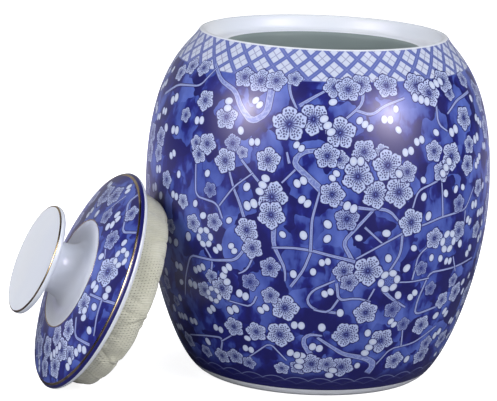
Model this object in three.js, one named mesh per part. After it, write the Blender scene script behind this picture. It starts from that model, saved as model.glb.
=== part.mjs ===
// Porcelain ginger jar with its knobbed lid standing on edge and leaning on the jar's belly.
// Millimetres, +Z up. The origin is on the surface that the jar stands on, on the jar's axis.
// The lid leans towards -X, and its own parts are turned about the lid's axis, which is local +Z.

import * as THREE from 'three';

// ---- jar: outside

const JAR_HEIGHT = 238.5;
const FOOT_RADIUS = 79;
const FOOT_LAND = 7;
const BASE_RECESS = 2;
const BELLY_RADIUS = 120;
const BELLY_HEIGHT = 132;
const LIP_RADIUS = 84;
const SHOULDER_TOP_RADIUS = 87.4;
const SHOULDER_TOP_HEIGHT = 235.3;

// The wall swells from the foot to the belly and closes in again to the lip. It leaves the foot at
// FOOT_SLOPE above the horizontal and meets the lip at LIP_SLOPE, and each pull is the length of a
// curve handle there.
const FOOT_SLOPE = THREE.MathUtils.degToRad(25);
const FOOT_PULL = 17;
const BELLY_PULL_DOWN = 59;
const BELLY_PULL_UP = 77;
const LIP_SLOPE = THREE.MathUtils.degToRad(56);
const LIP_PULL = 13;
const OUTER_WALL_STEPS = 20;

// ---- jar: inside

const WALL_THICKNESS = 6;
const FLOOR_THICKNESS = 8;
const MOUTH_RADIUS = 66.5;
const COLLAR_RADIUS = 79.2;
const SEAT_HEIGHT = 229;
const SEAT_EDGE_HEIGHT = 228.4;
const SEAT_UNDERSIDE = 222.6;
const NECK_END = 207.5;
const NECK_THICKNESS = 6;
const INNER_WALL_LOW = 0.12;
const INNER_WALL_HIGH = 0.87;
const INNER_WALL_STEPS = 10;

// ---- lid: heights are along the lid's axis, from the plane of the gilded rim line

const RIM_LINE_RADIUS = 75.7;
const RIM_RADIUS = 77.7;
const RIM_UNDERSIDE = -6.5;
const DISH_RADIUS = 38.6;
const DISH_HEIGHT = 11;
const DISH_FLOOR = 9.6;
const DOME_CROWN = 1.2;
const DOME_STEPS = 6;
const FLANGE_OUTER_RADIUS = 58.3;
const FLANGE_INNER_RADIUS = 53.5;
const FLANGE_END = -25.2;
const LID_HOLLOW_TOP = 3.4;

const KNOB_RADIUS = 38.5;
const KNOB_TOP = 39.7;
const KNOB_FACE_DIP = 0.9;
const KNOB_FOOT_RADIUS = 24;
const STEM_RADIUS = 17.6;

const GILT_WIDTH = 1.6;
const GILT_THICKNESS = 0.4;

// ---- lid: seal

const SEAL_RADIUS = 67.3;
const SEAL_END = -27.8;
const SEAL_INNER_RADIUS = 52;
const SEAL_TUCK_END = -14;
const SEAL_CORNER = 6;
const SEAL_INNER_CORNER = 3.5;
const CLOTH_THICKNESS = 1.2;

// ---- placing

// Pieces that touch stand this far apart.
const GAP = 0.3;
// How far the lid's axis rises above the horizontal as it leans.
const LEAN = THREE.MathUtils.degToRad(23);
const LID_CENTRE = [-169.5, -16.6];
const SEGMENTS = 48;

// ---- shape helpers

// Points on a circular arc in the profile plane, angles in degrees from the outward direction.
function arc(radius, height, bend, from, to, steps) {
  const points = [];
  for (let i = 0; i <= steps; i += 1) {
    const angle = THREE.MathUtils.degToRad(from + (to - from) * i / steps);
    points.push([radius + bend * Math.cos(angle), height + bend * Math.sin(angle)]);
  }
  return points;
}

// A body turned about Z from a profile of [radius, height] points, which runs up the outside
// and either begins and ends on the axis or closes on itself.
function turned(points, closed) {
  const profile = points.map(([radius, height]) => new THREE.Vector2(radius, height));
  if (closed) profile.push(profile[0].clone());
  const geometry = new THREE.LatheGeometry(profile, SEGMENTS);
  geometry.rotateX(Math.PI / 2);
  return geometry;
}

// A flat band that rings the axis, standing GAP proud of the glaze under it. tilt is the angle
// of the glaze's outward normal above the horizontal, in degrees.
function giltBand(radius, height, tilt) {
  const angle = THREE.MathUtils.degToRad(tilt);
  const along = new THREE.Vector2(-Math.sin(angle), Math.cos(angle)).multiplyScalar(GILT_WIDTH / 2);
  const out = new THREE.Vector2(Math.cos(angle), Math.sin(angle));
  const centre = new THREE.Vector2(radius, height);
  const near = centre.clone().addScaledVector(out, GAP);
  const far = centre.clone().addScaledVector(out, GAP + GILT_THICKNESS);
  return turned([
    near.clone().sub(along), far.clone().sub(along),
    far.clone().add(along), near.clone().add(along),
  ].map((point) => [point.x, point.y]), true);
}

function piece(name, geometry, material) {
  const mesh = new THREE.Mesh(geometry, material);
  mesh.name = name;
  return mesh;
}

// ---- materials

const blueWhiteGlaze = new THREE.MeshStandardMaterial({ color: 0x3f55a8, roughness: 0.12, metalness: 0 });
const whiteGlaze = new THREE.MeshStandardMaterial({ color: 0xe4e8ef, roughness: 0.1, metalness: 0 });
const gilding = new THREE.MeshStandardMaterial({ color: 0xc8a25a, roughness: 0.2, metalness: 1 });
const knitCloth = new THREE.MeshStandardMaterial({ color: 0xcfcdb8, roughness: 0.95, metalness: 0 });
const foam = new THREE.MeshStandardMaterial({ color: 0xe6dfc4, roughness: 1, metalness: 0 });

// ---- jar

function outerWall() {
  const foot = new THREE.Vector2(FOOT_RADIUS, 0);
  const belly = new THREE.Vector2(BELLY_RADIUS, BELLY_HEIGHT);
  const top = new THREE.Vector2(SHOULDER_TOP_RADIUS, SHOULDER_TOP_HEIGHT);
  const footPull = new THREE.Vector2(Math.cos(FOOT_SLOPE), Math.sin(FOOT_SLOPE)).multiplyScalar(FOOT_PULL);
  const topPull = new THREE.Vector2(Math.cos(LIP_SLOPE), -Math.sin(LIP_SLOPE)).multiplyScalar(LIP_PULL);
  const below = new THREE.Vector2(BELLY_RADIUS, BELLY_HEIGHT - BELLY_PULL_DOWN);
  const above = new THREE.Vector2(BELLY_RADIUS, BELLY_HEIGHT + BELLY_PULL_UP);
  const wall = new THREE.CurvePath();
  wall.add(new THREE.CubicBezierCurve(foot, foot.clone().add(footPull), below, belly));
  wall.add(new THREE.CubicBezierCurve(belly, above, top.clone().add(topPull), top));
  return wall;
}

function jarProfile() {
  const wall = outerWall();
  const outside = wall.getSpacedPoints(OUTER_WALL_STEPS).map((point) => [point.x, point.y]);
  const inside = [];
  for (let i = 0; i <= INNER_WALL_STEPS; i += 1) {
    const share = INNER_WALL_HIGH + (INNER_WALL_LOW - INNER_WALL_HIGH) * i / INNER_WALL_STEPS;
    const point = wall.getPoint(share);
    const tangent = wall.getTangent(share);
    inside.push([point.x - WALL_THICKNESS * tangent.y, point.y + WALL_THICKNESS * tangent.x]);
  }
  const lip = [
    [SHOULDER_TOP_RADIUS - 1.2, JAR_HEIGHT - 1.2],
    [LIP_RADIUS + 1.2, JAR_HEIGHT - 0.2],
    [LIP_RADIUS - 0.4, JAR_HEIGHT],
    [LIP_RADIUS - 2, JAR_HEIGHT - 0.8],
    [LIP_RADIUS - 3.2, JAR_HEIGHT - 2.6],
  ];
  const seat = [
    [COLLAR_RADIUS, SEAT_HEIGHT + 3],
    [COLLAR_RADIUS - 1, SEAT_HEIGHT + 0.9],
    [COLLAR_RADIUS - 3, SEAT_HEIGHT],
    [MOUTH_RADIUS + 3.5, SEAT_EDGE_HEIGHT + 0.6],
    [MOUTH_RADIUS + 1.2, SEAT_EDGE_HEIGHT - 0.4],
    [MOUTH_RADIUS, SEAT_EDGE_HEIGHT - 2.4],
  ];
  // The neck hangs inside the mouth, and the lid's seal grips it.
  const neck = [
    [MOUTH_RADIUS, NECK_END + 1.5],
    [MOUTH_RADIUS + 1.5, NECK_END],
    [MOUTH_RADIUS + NECK_THICKNESS - 1.5, NECK_END],
    [MOUTH_RADIUS + NECK_THICKNESS, NECK_END + 1.5],
    [MOUTH_RADIUS + NECK_THICKNESS, SEAT_UNDERSIDE - 3],
    [MOUTH_RADIUS + NECK_THICKNESS + 3, SEAT_UNDERSIDE],
  ];
  const shoulder = [[MOUTH_RADIUS + 18, SEAT_UNDERSIDE - 1.5]];
  const floor = [[FOOT_RADIUS - 4, FLOOR_THICKNESS + 1.6], [FOOT_RADIUS - 14, FLOOR_THICKNESS]];
  return [
    [0, BASE_RECESS],
    [FOOT_RADIUS - FOOT_LAND - 2, BASE_RECESS],
    [FOOT_RADIUS - FOOT_LAND, 0],
    ...outside,
    ...lip,
    ...seat,
    ...neck,
    ...shoulder,
    ...inside,
    ...floor,
    [0, FLOOR_THICKNESS],
  ];
}

// ---- lid

// Height of the painted dome at a radius between the dish line and the rim line.
function domeHeight(radius) {
  const share = (radius - DISH_RADIUS) / (RIM_LINE_RADIUS - DISH_RADIUS);
  return DISH_HEIGHT * (1 - share) + 4 * DOME_CROWN * share * (1 - share);
}

function domeProfile() {
  const underside = [
    [0, LID_HOLLOW_TOP],
    [26, LID_HOLLOW_TOP - 0.4],
    [42, LID_HOLLOW_TOP - 2.4],
    [FLANGE_INNER_RADIUS - 3, LID_HOLLOW_TOP - 6],
    [FLANGE_INNER_RADIUS, LID_HOLLOW_TOP - 10.5],
    [FLANGE_INNER_RADIUS, FLANGE_END + 1],
    [FLANGE_INNER_RADIUS + 1, FLANGE_END],
    [FLANGE_OUTER_RADIUS - 1, FLANGE_END],
    [FLANGE_OUTER_RADIUS, FLANGE_END + 1],
    [FLANGE_OUTER_RADIUS, RIM_UNDERSIDE],
  ];
  const rim = [
    [RIM_RADIUS - 4.2, RIM_UNDERSIDE],
    [RIM_RADIUS - 1.5, RIM_UNDERSIDE + 0.8],
    [RIM_RADIUS - 0.1, RIM_UNDERSIDE + 2.2],
    [RIM_RADIUS, RIM_UNDERSIDE + 3.6],
    [RIM_RADIUS - 0.6, -1.3],
  ];
  const dome = [];
  for (let i = 0; i <= DOME_STEPS; i += 1) {
    const radius = RIM_LINE_RADIUS + (DISH_RADIUS - RIM_LINE_RADIUS) * i / DOME_STEPS;
    dome.push([radius, domeHeight(radius)]);
  }
  const dish = [[DISH_RADIUS - 3.6, DISH_FLOOR + 0.3], [DISH_RADIUS - 9, DISH_FLOOR], [0, DISH_FLOOR]];
  return [...underside, ...rim, ...dome, ...dish];
}

function knobProfile() {
  const foot = DISH_FLOOR + GAP;
  return [
    [0, foot],
    [KNOB_FOOT_RADIUS, foot],
    [KNOB_FOOT_RADIUS - 2.4, foot + 1.7],
    [STEM_RADIUS + 2, foot + 5.2],
    [STEM_RADIUS + 0.4, foot + 10.2],
    [STEM_RADIUS, foot + 15],
    [STEM_RADIUS + 1, foot + 19],
    [STEM_RADIUS + 4, foot + 21.6],
    [KNOB_RADIUS - 10, foot + 23.2],
    [KNOB_RADIUS - 3.5, foot + 24.3],
    [KNOB_RADIUS - 0.9, foot + 25.2],
    [KNOB_RADIUS, KNOB_TOP - 3.4],
    [KNOB_RADIUS - 0.1, KNOB_TOP - 1.4],
    [KNOB_RADIUS - 0.8, KNOB_TOP - 0.3],
    [KNOB_RADIUS - 2, KNOB_TOP],
    [KNOB_RADIUS - 6, KNOB_TOP - KNOB_FACE_DIP / 2],
    [KNOB_RADIUS / 2, KNOB_TOP - KNOB_FACE_DIP],
    [0, KNOB_TOP - KNOB_FACE_DIP],
  ];
}

// A knitted sleeve over the foam and the flange: down the outside, under, and tucked up inside.
function clothProfile() {
  const outer = [SEAL_RADIUS - SEAL_CORNER, SEAL_END + SEAL_CORNER];
  const inner = [SEAL_INNER_RADIUS + SEAL_INNER_CORNER, SEAL_END + SEAL_INNER_CORNER];
  return [
    [SEAL_RADIUS, RIM_UNDERSIDE - GAP],
    [SEAL_RADIUS - CLOTH_THICKNESS, RIM_UNDERSIDE - GAP],
    ...arc(...outer, SEAL_CORNER - CLOTH_THICKNESS, 0, -90, 3),
    ...arc(...inner, SEAL_INNER_CORNER - CLOTH_THICKNESS, 270, 180, 3),
    [SEAL_INNER_RADIUS + CLOTH_THICKNESS, SEAL_TUCK_END],
    [SEAL_INNER_RADIUS, SEAL_TUCK_END],
    ...arc(...inner, SEAL_INNER_CORNER, 180, 270, 3),
    ...arc(...outer, SEAL_CORNER, -90, 0, 3),
  ];
}

function foamProfile() {
  const inner = FLANGE_OUTER_RADIUS + GAP;
  const outer = SEAL_RADIUS - CLOTH_THICKNESS - GAP;
  const top = RIM_UNDERSIDE - GAP;
  const bottom = SEAL_END + CLOTH_THICKNESS + GAP;
  const corner = SEAL_CORNER - CLOTH_THICKNESS - GAP;
  return [[inner, bottom], ...arc(outer - corner, bottom + corner, corner, -90, 0, 3), [outer, top], [inner, top]];
}

// Height of the lid's centre above the surface when its rim just touches the surface.
function standingHeight(profile) {
  return Math.max(...profile.map(([radius, height]) => radius * Math.cos(LEAN) - height * Math.sin(LEAN)));
}

// ---- the parts in place

const lid = new THREE.Group();
lid.add(piece('lid_dome', turned(domeProfile(), false), blueWhiteGlaze));
lid.add(piece('lid_knob', turned(knobProfile(), false), whiteGlaze));
lid.add(piece('gilt_rim_band', giltBand(RIM_LINE_RADIUS, 0.1, 50), gilding));
lid.add(piece('gilt_dish_band', giltBand(DISH_RADIUS, DISH_HEIGHT, 92), gilding));
lid.add(piece('gilt_knob_band', giltBand(KNOB_RADIUS - 0.9, KNOB_TOP - 0.1, 62), gilding));
lid.add(piece('seal_foam_ring', turned(foamProfile(), true), foam));
lid.add(piece('seal_cloth', turned(clothProfile(), true), knitCloth));
lid.position.set(LID_CENTRE[0], LID_CENTRE[1], standingHeight(domeProfile()));
lid.rotation.y = LEAN - Math.PI / 2;

const gingerJar = new THREE.Group();
gingerJar.add(piece('jar_body', turned(jarProfile(), false), blueWhiteGlaze));
gingerJar.add(lid);

export default gingerJar;
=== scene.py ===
"""A blue-and-white porcelain ginger jar with its knobbed lid standing on edge and leaning on it.

The CAD nodes are replaced by fine turned surfaces on the same outlines, and the jar and the lid
are painted under the glaze with plum blossom on broken ice. Lengths are in millimetres until a
mesh is made. An angle round a turned piece is in degrees from its own -Y side, growing to the
right as seen from outside.
"""

import math
import random

import bmesh
import bpy
import numpy as np
from mathutils import Matrix, Vector


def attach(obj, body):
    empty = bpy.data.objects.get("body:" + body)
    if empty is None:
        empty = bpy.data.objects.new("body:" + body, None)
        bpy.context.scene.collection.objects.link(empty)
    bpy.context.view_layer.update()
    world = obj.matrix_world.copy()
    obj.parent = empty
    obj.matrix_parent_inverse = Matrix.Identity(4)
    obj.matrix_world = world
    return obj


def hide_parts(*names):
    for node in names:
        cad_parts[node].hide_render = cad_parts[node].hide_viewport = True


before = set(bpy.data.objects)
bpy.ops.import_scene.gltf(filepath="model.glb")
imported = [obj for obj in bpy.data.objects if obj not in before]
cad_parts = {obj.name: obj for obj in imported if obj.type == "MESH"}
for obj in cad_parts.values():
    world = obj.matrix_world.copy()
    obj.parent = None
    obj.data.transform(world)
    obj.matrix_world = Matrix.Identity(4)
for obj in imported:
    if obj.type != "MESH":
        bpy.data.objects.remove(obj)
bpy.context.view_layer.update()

MM = 0.001
SEED = 11

# ---- driving sizes, as in the CAD model

JAR_HEIGHT = 238.5
FOOT_RADIUS = 79
FOOT_LAND = 7
BASE_RECESS = 2
BELLY_RADIUS = 120
BELLY_HEIGHT = 132
LIP_RADIUS = 84
SHOULDER_TOP = (87.4, 235.3)
FOOT_SLOPE = math.radians(25)
FOOT_PULL = 17
BELLY_PULL_DOWN = 59
BELLY_PULL_UP = 77
LIP_SLOPE = math.radians(56)
LIP_PULL = 13
WALL_THICKNESS = 6
FLOOR_THICKNESS = 8
MOUTH_RADIUS = 66.5
COLLAR_RADIUS = 79.2
SEAT_HEIGHT = 229
SEAT_EDGE_HEIGHT = 228.4
SEAT_UNDERSIDE = 222.6
NECK_END = 207.5
NECK_THICKNESS = 6
INNER_WALL_LOW = 0.12
INNER_WALL_HIGH = 0.87

RIM_LINE_RADIUS = 75.7
RIM_RADIUS = 77.7
RIM_UNDERSIDE = -6.5
DISH_RADIUS = 38.6
DISH_HEIGHT = 11
DISH_FLOOR = 9.6
DOME_CROWN = 1.2
FLANGE_OUTER_RADIUS = 58.3
FLANGE_INNER_RADIUS = 53.5
FLANGE_END = -25.2
LID_HOLLOW_TOP = 3.4
KNOB_RADIUS = 38.5
KNOB_TOP = 39.7
KNOB_FACE_DIP = 0.9
STEM_RADIUS = 17.6

SEAL_RADIUS = 67.3
SEAL_END = -27.8
SEAL_INNER_RADIUS = 52
SEAL_TUCK_END = -14
SEAL_CORNER = 6
SEAL_INNER_CORNER = 3.5
CLOTH_THICKNESS = 1.2
GAP = 0.3
SEAL_TOP = RIM_UNDERSIDE - GAP

LEAN = math.radians(23)
LID_CENTRE = (-169.5, -16.6)

# ---- how finely the surfaces are made

AROUND = 288
WALL_PITCH = 3.0
INNER_PITCH = 4.5
DOME_PITCH = 1.6
GILT_PROUD = 0.07
GILT_STEP = 0.1
GILT_POINTS = 8
RIM_GILT_WIDTH = 1.9
DISH_GILT_WIDTH = 1.0
KNOB_GILT_WIDTH = 1.5
PAINT_TOP = 237.8
LID_PAINT_EDGE = (RIM_RADIUS, RIM_UNDERSIDE + 3.9)


# ---- outlines: lists of (radius, height)

def bezier(start, pull_a, pull_b, end, steps=200):
    """Points on a cubic curve."""
    t = np.linspace(0, 1, steps + 1)[:, None]
    a, b, c, d = (np.array(point, float) for point in (start, pull_a, pull_b, end))
    curve = (1 - t) ** 3 * a + 3 * (1 - t) ** 2 * t * b + 3 * (1 - t) * t * t * c + t ** 3 * d
    return [tuple(point) for point in curve]


def lengths_along(points):
    """Distance along an outline at each of its points."""
    steps = np.linalg.norm(np.diff(np.array(points), axis=0), axis=1)
    return np.concatenate([[0], np.cumsum(steps)])


def evenly(points, pitch):
    """The same outline with equal steps of about the pitch."""
    points = np.array(points, float)
    travel = lengths_along(points)
    stops = np.linspace(0, travel[-1], max(2, round(travel[-1] / pitch) + 1))
    return [tuple(np.interp(stop, travel, points[:, k]) for k in (0, 1)) for stop in stops]


def softened(points, rounds=2):
    """The same outline with its corners cut round. Its two ends stay."""
    for _ in range(rounds):
        cut = [points[0]]
        for a, b in zip(points, points[1:]):
            cut.append(tuple(0.75 * p + 0.25 * q for p, q in zip(a, b)))
            cut.append(tuple(0.25 * p + 0.75 * q for p, q in zip(a, b)))
        points = cut + [points[-1]]
    return points


def eased(points, reach):
    """The same path with each of its corners cut back by no more than reach."""
    path = [points[0]]
    for before, corner, after in zip(points, points[1:], points[2:]):
        for end in (before, after):
            gap = math.dist(corner, end)
            cut = min(reach, gap / 3) / gap
            path.append(tuple(c + (e - c) * cut for c, e in zip(corner, end)))
    return path + [points[-1]]


def arc(centre, bend, start, end, steps=6):
    """Points on a circular arc, angles in degrees from the outward direction."""
    angles = np.radians(np.linspace(start, end, steps + 1))
    return [(centre[0] + bend * math.cos(a), centre[1] + bend * math.sin(a)) for a in angles]


def steps_from(radius, height, *steps):
    """Points of an outline, each a step outwards and a step up from the same place."""
    return [(radius + out, height + up) for out, up in steps]


def turn_to(angle, start):
    """The turn from one angle to another, from -180 up to 180 degrees."""
    return (angle - start + 180) % 360 - 180


def jar_wall():
    """The jar's outside from the foot to just under the lip."""
    foot = (FOOT_RADIUS, 0)
    foot_pull = (FOOT_RADIUS + FOOT_PULL * math.cos(FOOT_SLOPE), FOOT_PULL * math.sin(FOOT_SLOPE))
    below = (BELLY_RADIUS, BELLY_HEIGHT - BELLY_PULL_DOWN)
    belly = (BELLY_RADIUS, BELLY_HEIGHT)
    above = (BELLY_RADIUS, BELLY_HEIGHT + BELLY_PULL_UP)
    top_pull = (
        SHOULDER_TOP[0] + LIP_PULL * math.cos(LIP_SLOPE),
        SHOULDER_TOP[1] - LIP_PULL * math.sin(LIP_SLOPE),
    )
    curve = bezier(foot, foot_pull, below, belly) + bezier(belly, above, top_pull, SHOULDER_TOP)[1:]
    return evenly(curve, WALL_PITCH)


def jar_inner_wall(wall):
    """The jar's inside, one wall thickness in from its outside, from the shoulder down."""
    high, low = (round(share * (len(wall) - 1)) for share in (INNER_WALL_HIGH, INNER_WALL_LOW))
    inside = []
    for i in range(high, low - 1, -1):
        along = Vector(wall[i + 1]) - Vector(wall[i - 1])
        along.normalize()
        radius, height = wall[i]
        inside.append((radius - WALL_THICKNESS * along.y, height + WALL_THICKNESS * along.x))
    return evenly(inside, INNER_PITCH)


def jar_lip_and_seat(inner_start):
    """The rounded lip, the collar, the ledge under the lid and the neck that grips its seal."""
    neck = MOUTH_RADIUS + NECK_THICKNESS
    return softened([
        SHOULDER_TOP,
        (SHOULDER_TOP[0] - 1.2, JAR_HEIGHT - 1.2),
        *steps_from(LIP_RADIUS, JAR_HEIGHT, (1.2, -0.2), (-0.4, 0), (-2, -0.8), (-3.2, -2.6)),
        *steps_from(COLLAR_RADIUS, SEAT_HEIGHT, (0, 3), (-1, 0.9), (-3, 0)),
        *steps_from(MOUTH_RADIUS, SEAT_EDGE_HEIGHT, (3.5, 0.6), (1.2, -0.4), (0, -2.4)),
        *steps_from(MOUTH_RADIUS, NECK_END, (0, 1.5), (1.5, 0)),
        *steps_from(neck, NECK_END, (-1.5, 0), (0, 1.5)),
        *steps_from(neck, SEAT_UNDERSIDE, (0, -3), (3, 0)),
        (MOUTH_RADIUS + 18, SEAT_UNDERSIDE - 1.5),
        inner_start,
    ])


def dome_height(radius):
    """Height of the lid's painted dome above the plane of the rim line."""
    share = (radius - DISH_RADIUS) / (RIM_LINE_RADIUS - DISH_RADIUS)
    return DISH_HEIGHT * (1 - share) + 4 * DOME_CROWN * share * (1 - share)


def lid_underside():
    """The lid's hollow, the flange that carries the seal, and the flat behind the rim."""
    return softened([
        *steps_from(0, LID_HOLLOW_TOP, (26, -0.4), (42, -2.4)),
        *steps_from(FLANGE_INNER_RADIUS, LID_HOLLOW_TOP, (-3, -6), (0, -10.5)),
        *steps_from(FLANGE_INNER_RADIUS, FLANGE_END, (0, 1), (1, 0)),
        *steps_from(FLANGE_OUTER_RADIUS, FLANGE_END, (-1, 0), (0, 1)),
        *steps_from(FLANGE_OUTER_RADIUS, RIM_UNDERSIDE, (0, -1), (1, 0)),
        (RIM_RADIUS - 5.2, RIM_UNDERSIDE),
    ], rounds=1)


def lid_rim():
    """The rounded white edge of the lid, up to the painted edge line."""
    corner = ((-5.2, 0), (-4.2, 0), (-1.5, 0.8), (-0.1, 2.2))
    return softened([*steps_from(RIM_RADIUS, RIM_UNDERSIDE, *corner), LID_PAINT_EDGE])


def lid_painted():
    """The painted edge and dome, from the white rim in to the dish."""
    radii = np.linspace(RIM_LINE_RADIUS, DISH_RADIUS, 24)
    edge = softened([LID_PAINT_EDGE, (RIM_RADIUS - 0.6, -1.3), (RIM_LINE_RADIUS, 0)])
    dome = [(radius, dome_height(radius)) for radius in radii]
    return evenly(edge + dome[1:], DOME_PITCH)


def lid_dish():
    """The white dish round the knob's foot."""
    return softened([
        *steps_from(DISH_RADIUS, DISH_HEIGHT, (0, 0), (-1.2, -0.5)),
        *steps_from(DISH_RADIUS, DISH_FLOOR, (-3.6, 0.3), (-9, 0)),
        (0.5 * DISH_RADIUS, DISH_FLOOR),
    ])


def knob_side():
    """The knob from where it flows out of the dish, up its stem to the edge of its disc."""
    foot = DISH_FLOOR + GAP
    return softened([
        *steps_from(0, DISH_FLOOR, (31, -0.05), (27.5, 0.15)),
        *steps_from(0, foot, (24, 0.6), (21.6, 2.2)),
        *steps_from(STEM_RADIUS, foot, (2, 5.2), (0.4, 10.2), (0, 15), (1, 19), (4, 21.6)),
        *steps_from(KNOB_RADIUS, foot, (-10, 23.2), (-3.5, 24.3), (-0.9, 25.2)),
        *steps_from(KNOB_RADIUS, KNOB_TOP, (0, -3.4), (0, -1.4), (-0.5, -0.3), (-1.7, 0)),
        (KNOB_RADIUS - 6, KNOB_TOP - KNOB_FACE_DIP / 2),
        (KNOB_RADIUS / 2, KNOB_TOP - KNOB_FACE_DIP),
        (KNOB_RADIUS / 4, KNOB_TOP - KNOB_FACE_DIP),
    ])


def gilt_outline(surface, near, width):
    """A thin closed band on an outline, centred where the outline comes nearest a point."""
    points = np.array(evenly(surface, GILT_STEP))
    middle = np.argmin(np.linalg.norm(points - np.array(near), axis=1))
    reach = round(width / 2 / GILT_STEP)
    strip = points[middle - reach:middle + reach + 1]
    along = np.gradient(strip, axis=0)
    along /= np.linalg.norm(along, axis=1)[:, None]
    outward = np.stack([along[:, 1], -along[:, 0]], axis=1)
    swell = np.sin(np.linspace(0, math.pi, len(strip)))[:, None]
    top = strip + outward * GILT_PROUD * swell ** 0.5
    under = strip - outward * GILT_PROUD
    every = max(1, len(strip) // GILT_POINTS)
    return [tuple(p) for p in top[::every]] + [tuple(p) for p in under[::-1][::every]]


# ---- turned meshes

def lid_matrix():
    """The leaning lid's own frame, whose Z is the lid's axis."""
    profile = lid_underside() + lid_rim() + lid_painted()
    lift = max(r * math.cos(LEAN) - h * math.sin(LEAN) for r, h in profile)
    place = Matrix.Translation((LID_CENTRE[0] * MM, LID_CENTRE[1] * MM, lift * MM))
    return place @ Matrix.Rotation(LEAN - math.pi / 2, 4, "Y")


def add_object(name, data):
    thing = bpy.data.objects.new(name, data)
    bpy.context.scene.collection.objects.link(thing)
    return thing


class Turned:
    """A surface of revolution built from stretches of outline, each with a material of its own.

    It keeps, at each corner of the faces, the angle round the axis and the distance along the
    outline, which the motifs and the patterns are laid out in.
    """

    def __init__(self, name, stretches, materials, matrix=None, around=AROUND, closed=False):
        outline, looks = [], []
        for points, look in stretches:
            fresh = points[1:] if outline else points
            looks += [look] * (len(fresh) if outline else len(points) - 1)
            outline += fresh
        if closed:
            outline.append(outline[0])
            looks.append(looks[-1])
        self.outline = np.array(outline, float)
        self.travel = lengths_along(outline)
        self.around = around
        self.rows = len(looks)
        self.looks = looks
        self.mesh = bpy.data.meshes.new(name)
        self.build(closed)
        for material in materials:
            self.mesh.materials.append(material)
        self.mesh.polygons.foreach_set("material_index", np.repeat(looks, around))
        self.mesh.polygons.foreach_set("use_smooth", np.ones(self.rows * around, bool))
        self.write("place", self.place())
        self.mesh.transform(matrix or Matrix())
        self.mesh.update()
        self.object = add_object(name, self.mesh)

    def build(self, closed):
        """Makes the vertices and the faces. A row on the axis is a ring of no width."""
        rings = self.outline[:-1] if closed else self.outline
        angles = np.linspace(-math.pi, math.pi, self.around, endpoint=False)
        radius = rings[:, 0][:, None] * MM
        height = np.repeat(rings[:, 1][:, None], self.around, axis=1) * MM
        grid = np.stack([radius * np.sin(angles), -radius * np.cos(angles), height], axis=-1)
        row, column = np.meshgrid(np.arange(self.rows), np.arange(self.around), indexing="ij")
        upper = (row + 1) % len(rings)
        beside = (column + 1) % self.around
        corners = [row * self.around + column, row * self.around + beside,
                   upper * self.around + beside, upper * self.around + column]
        faces = np.stack(corners, axis=-1).reshape(-1, 4)
        self.mesh.from_pydata(grid.reshape(-1, 3).tolist(), [], faces.tolist())

    def close_poles(self):
        """Merges each ring of no width to one point. It comes last, as faces lose corners."""
        work = bmesh.new()
        work.from_mesh(self.mesh)
        middle = [vertex for vertex in work.verts if vertex.is_boundary]
        bmesh.ops.remove_doubles(work, verts=middle, dist=1e-7)
        work.to_mesh(self.mesh)
        work.free()

    def place(self):
        """Turns round the axis, distance along the outline and height, at every face corner."""
        row, column = np.meshgrid(np.arange(self.rows), np.arange(self.around), indexing="ij")
        rows = np.stack([row, row, row + 1, row + 1], axis=-1)
        columns = np.stack([column, column + 1, column + 1, column], axis=-1)
        values = [columns / self.around, self.travel[rows], self.outline[rows, 1]]
        return np.stack(values, axis=-1).reshape(-1, 4, 3)

    def write(self, name, values):
        """Stores a vector for each face corner."""
        layer = self.mesh.attributes.new(name, "FLOAT_VECTOR", "CORNER")
        layer.data.foreach_set("vector", values.astype(np.float32).ravel())


# ---- laying out motifs on a painted surface

MOTIF_LAYERS = {"branch": 4, "blossom": 6, "wreath": 1, "bud": 3}
MOTIF_REACH = {"bud": 2.1, "blossom": 1.3, "wreath": 1.2}
NOWHERE = 9.0
FACE_REACH = 2.4
BRANCH_EASE = 2.5
BRANCH_STEP = 1.5
BRANCH_MARGIN = 6
BRANCH_SPAN = 0.8
SPRAY_GAP = 3
SPRAY_SPREAD = 1.35
TWIG_SHORTEST = 18
TWIG_WIDTHS = (0.8, 0.5)
BLOSSOM_SPREAD = 1.06
BUD_MARGIN = 1.5
BUD_SIZE = 4.2
BUD_TRIES = 12
CLUSTER_RADIUS = 7
CLUSTER_CHANCE = 0.35


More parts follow.
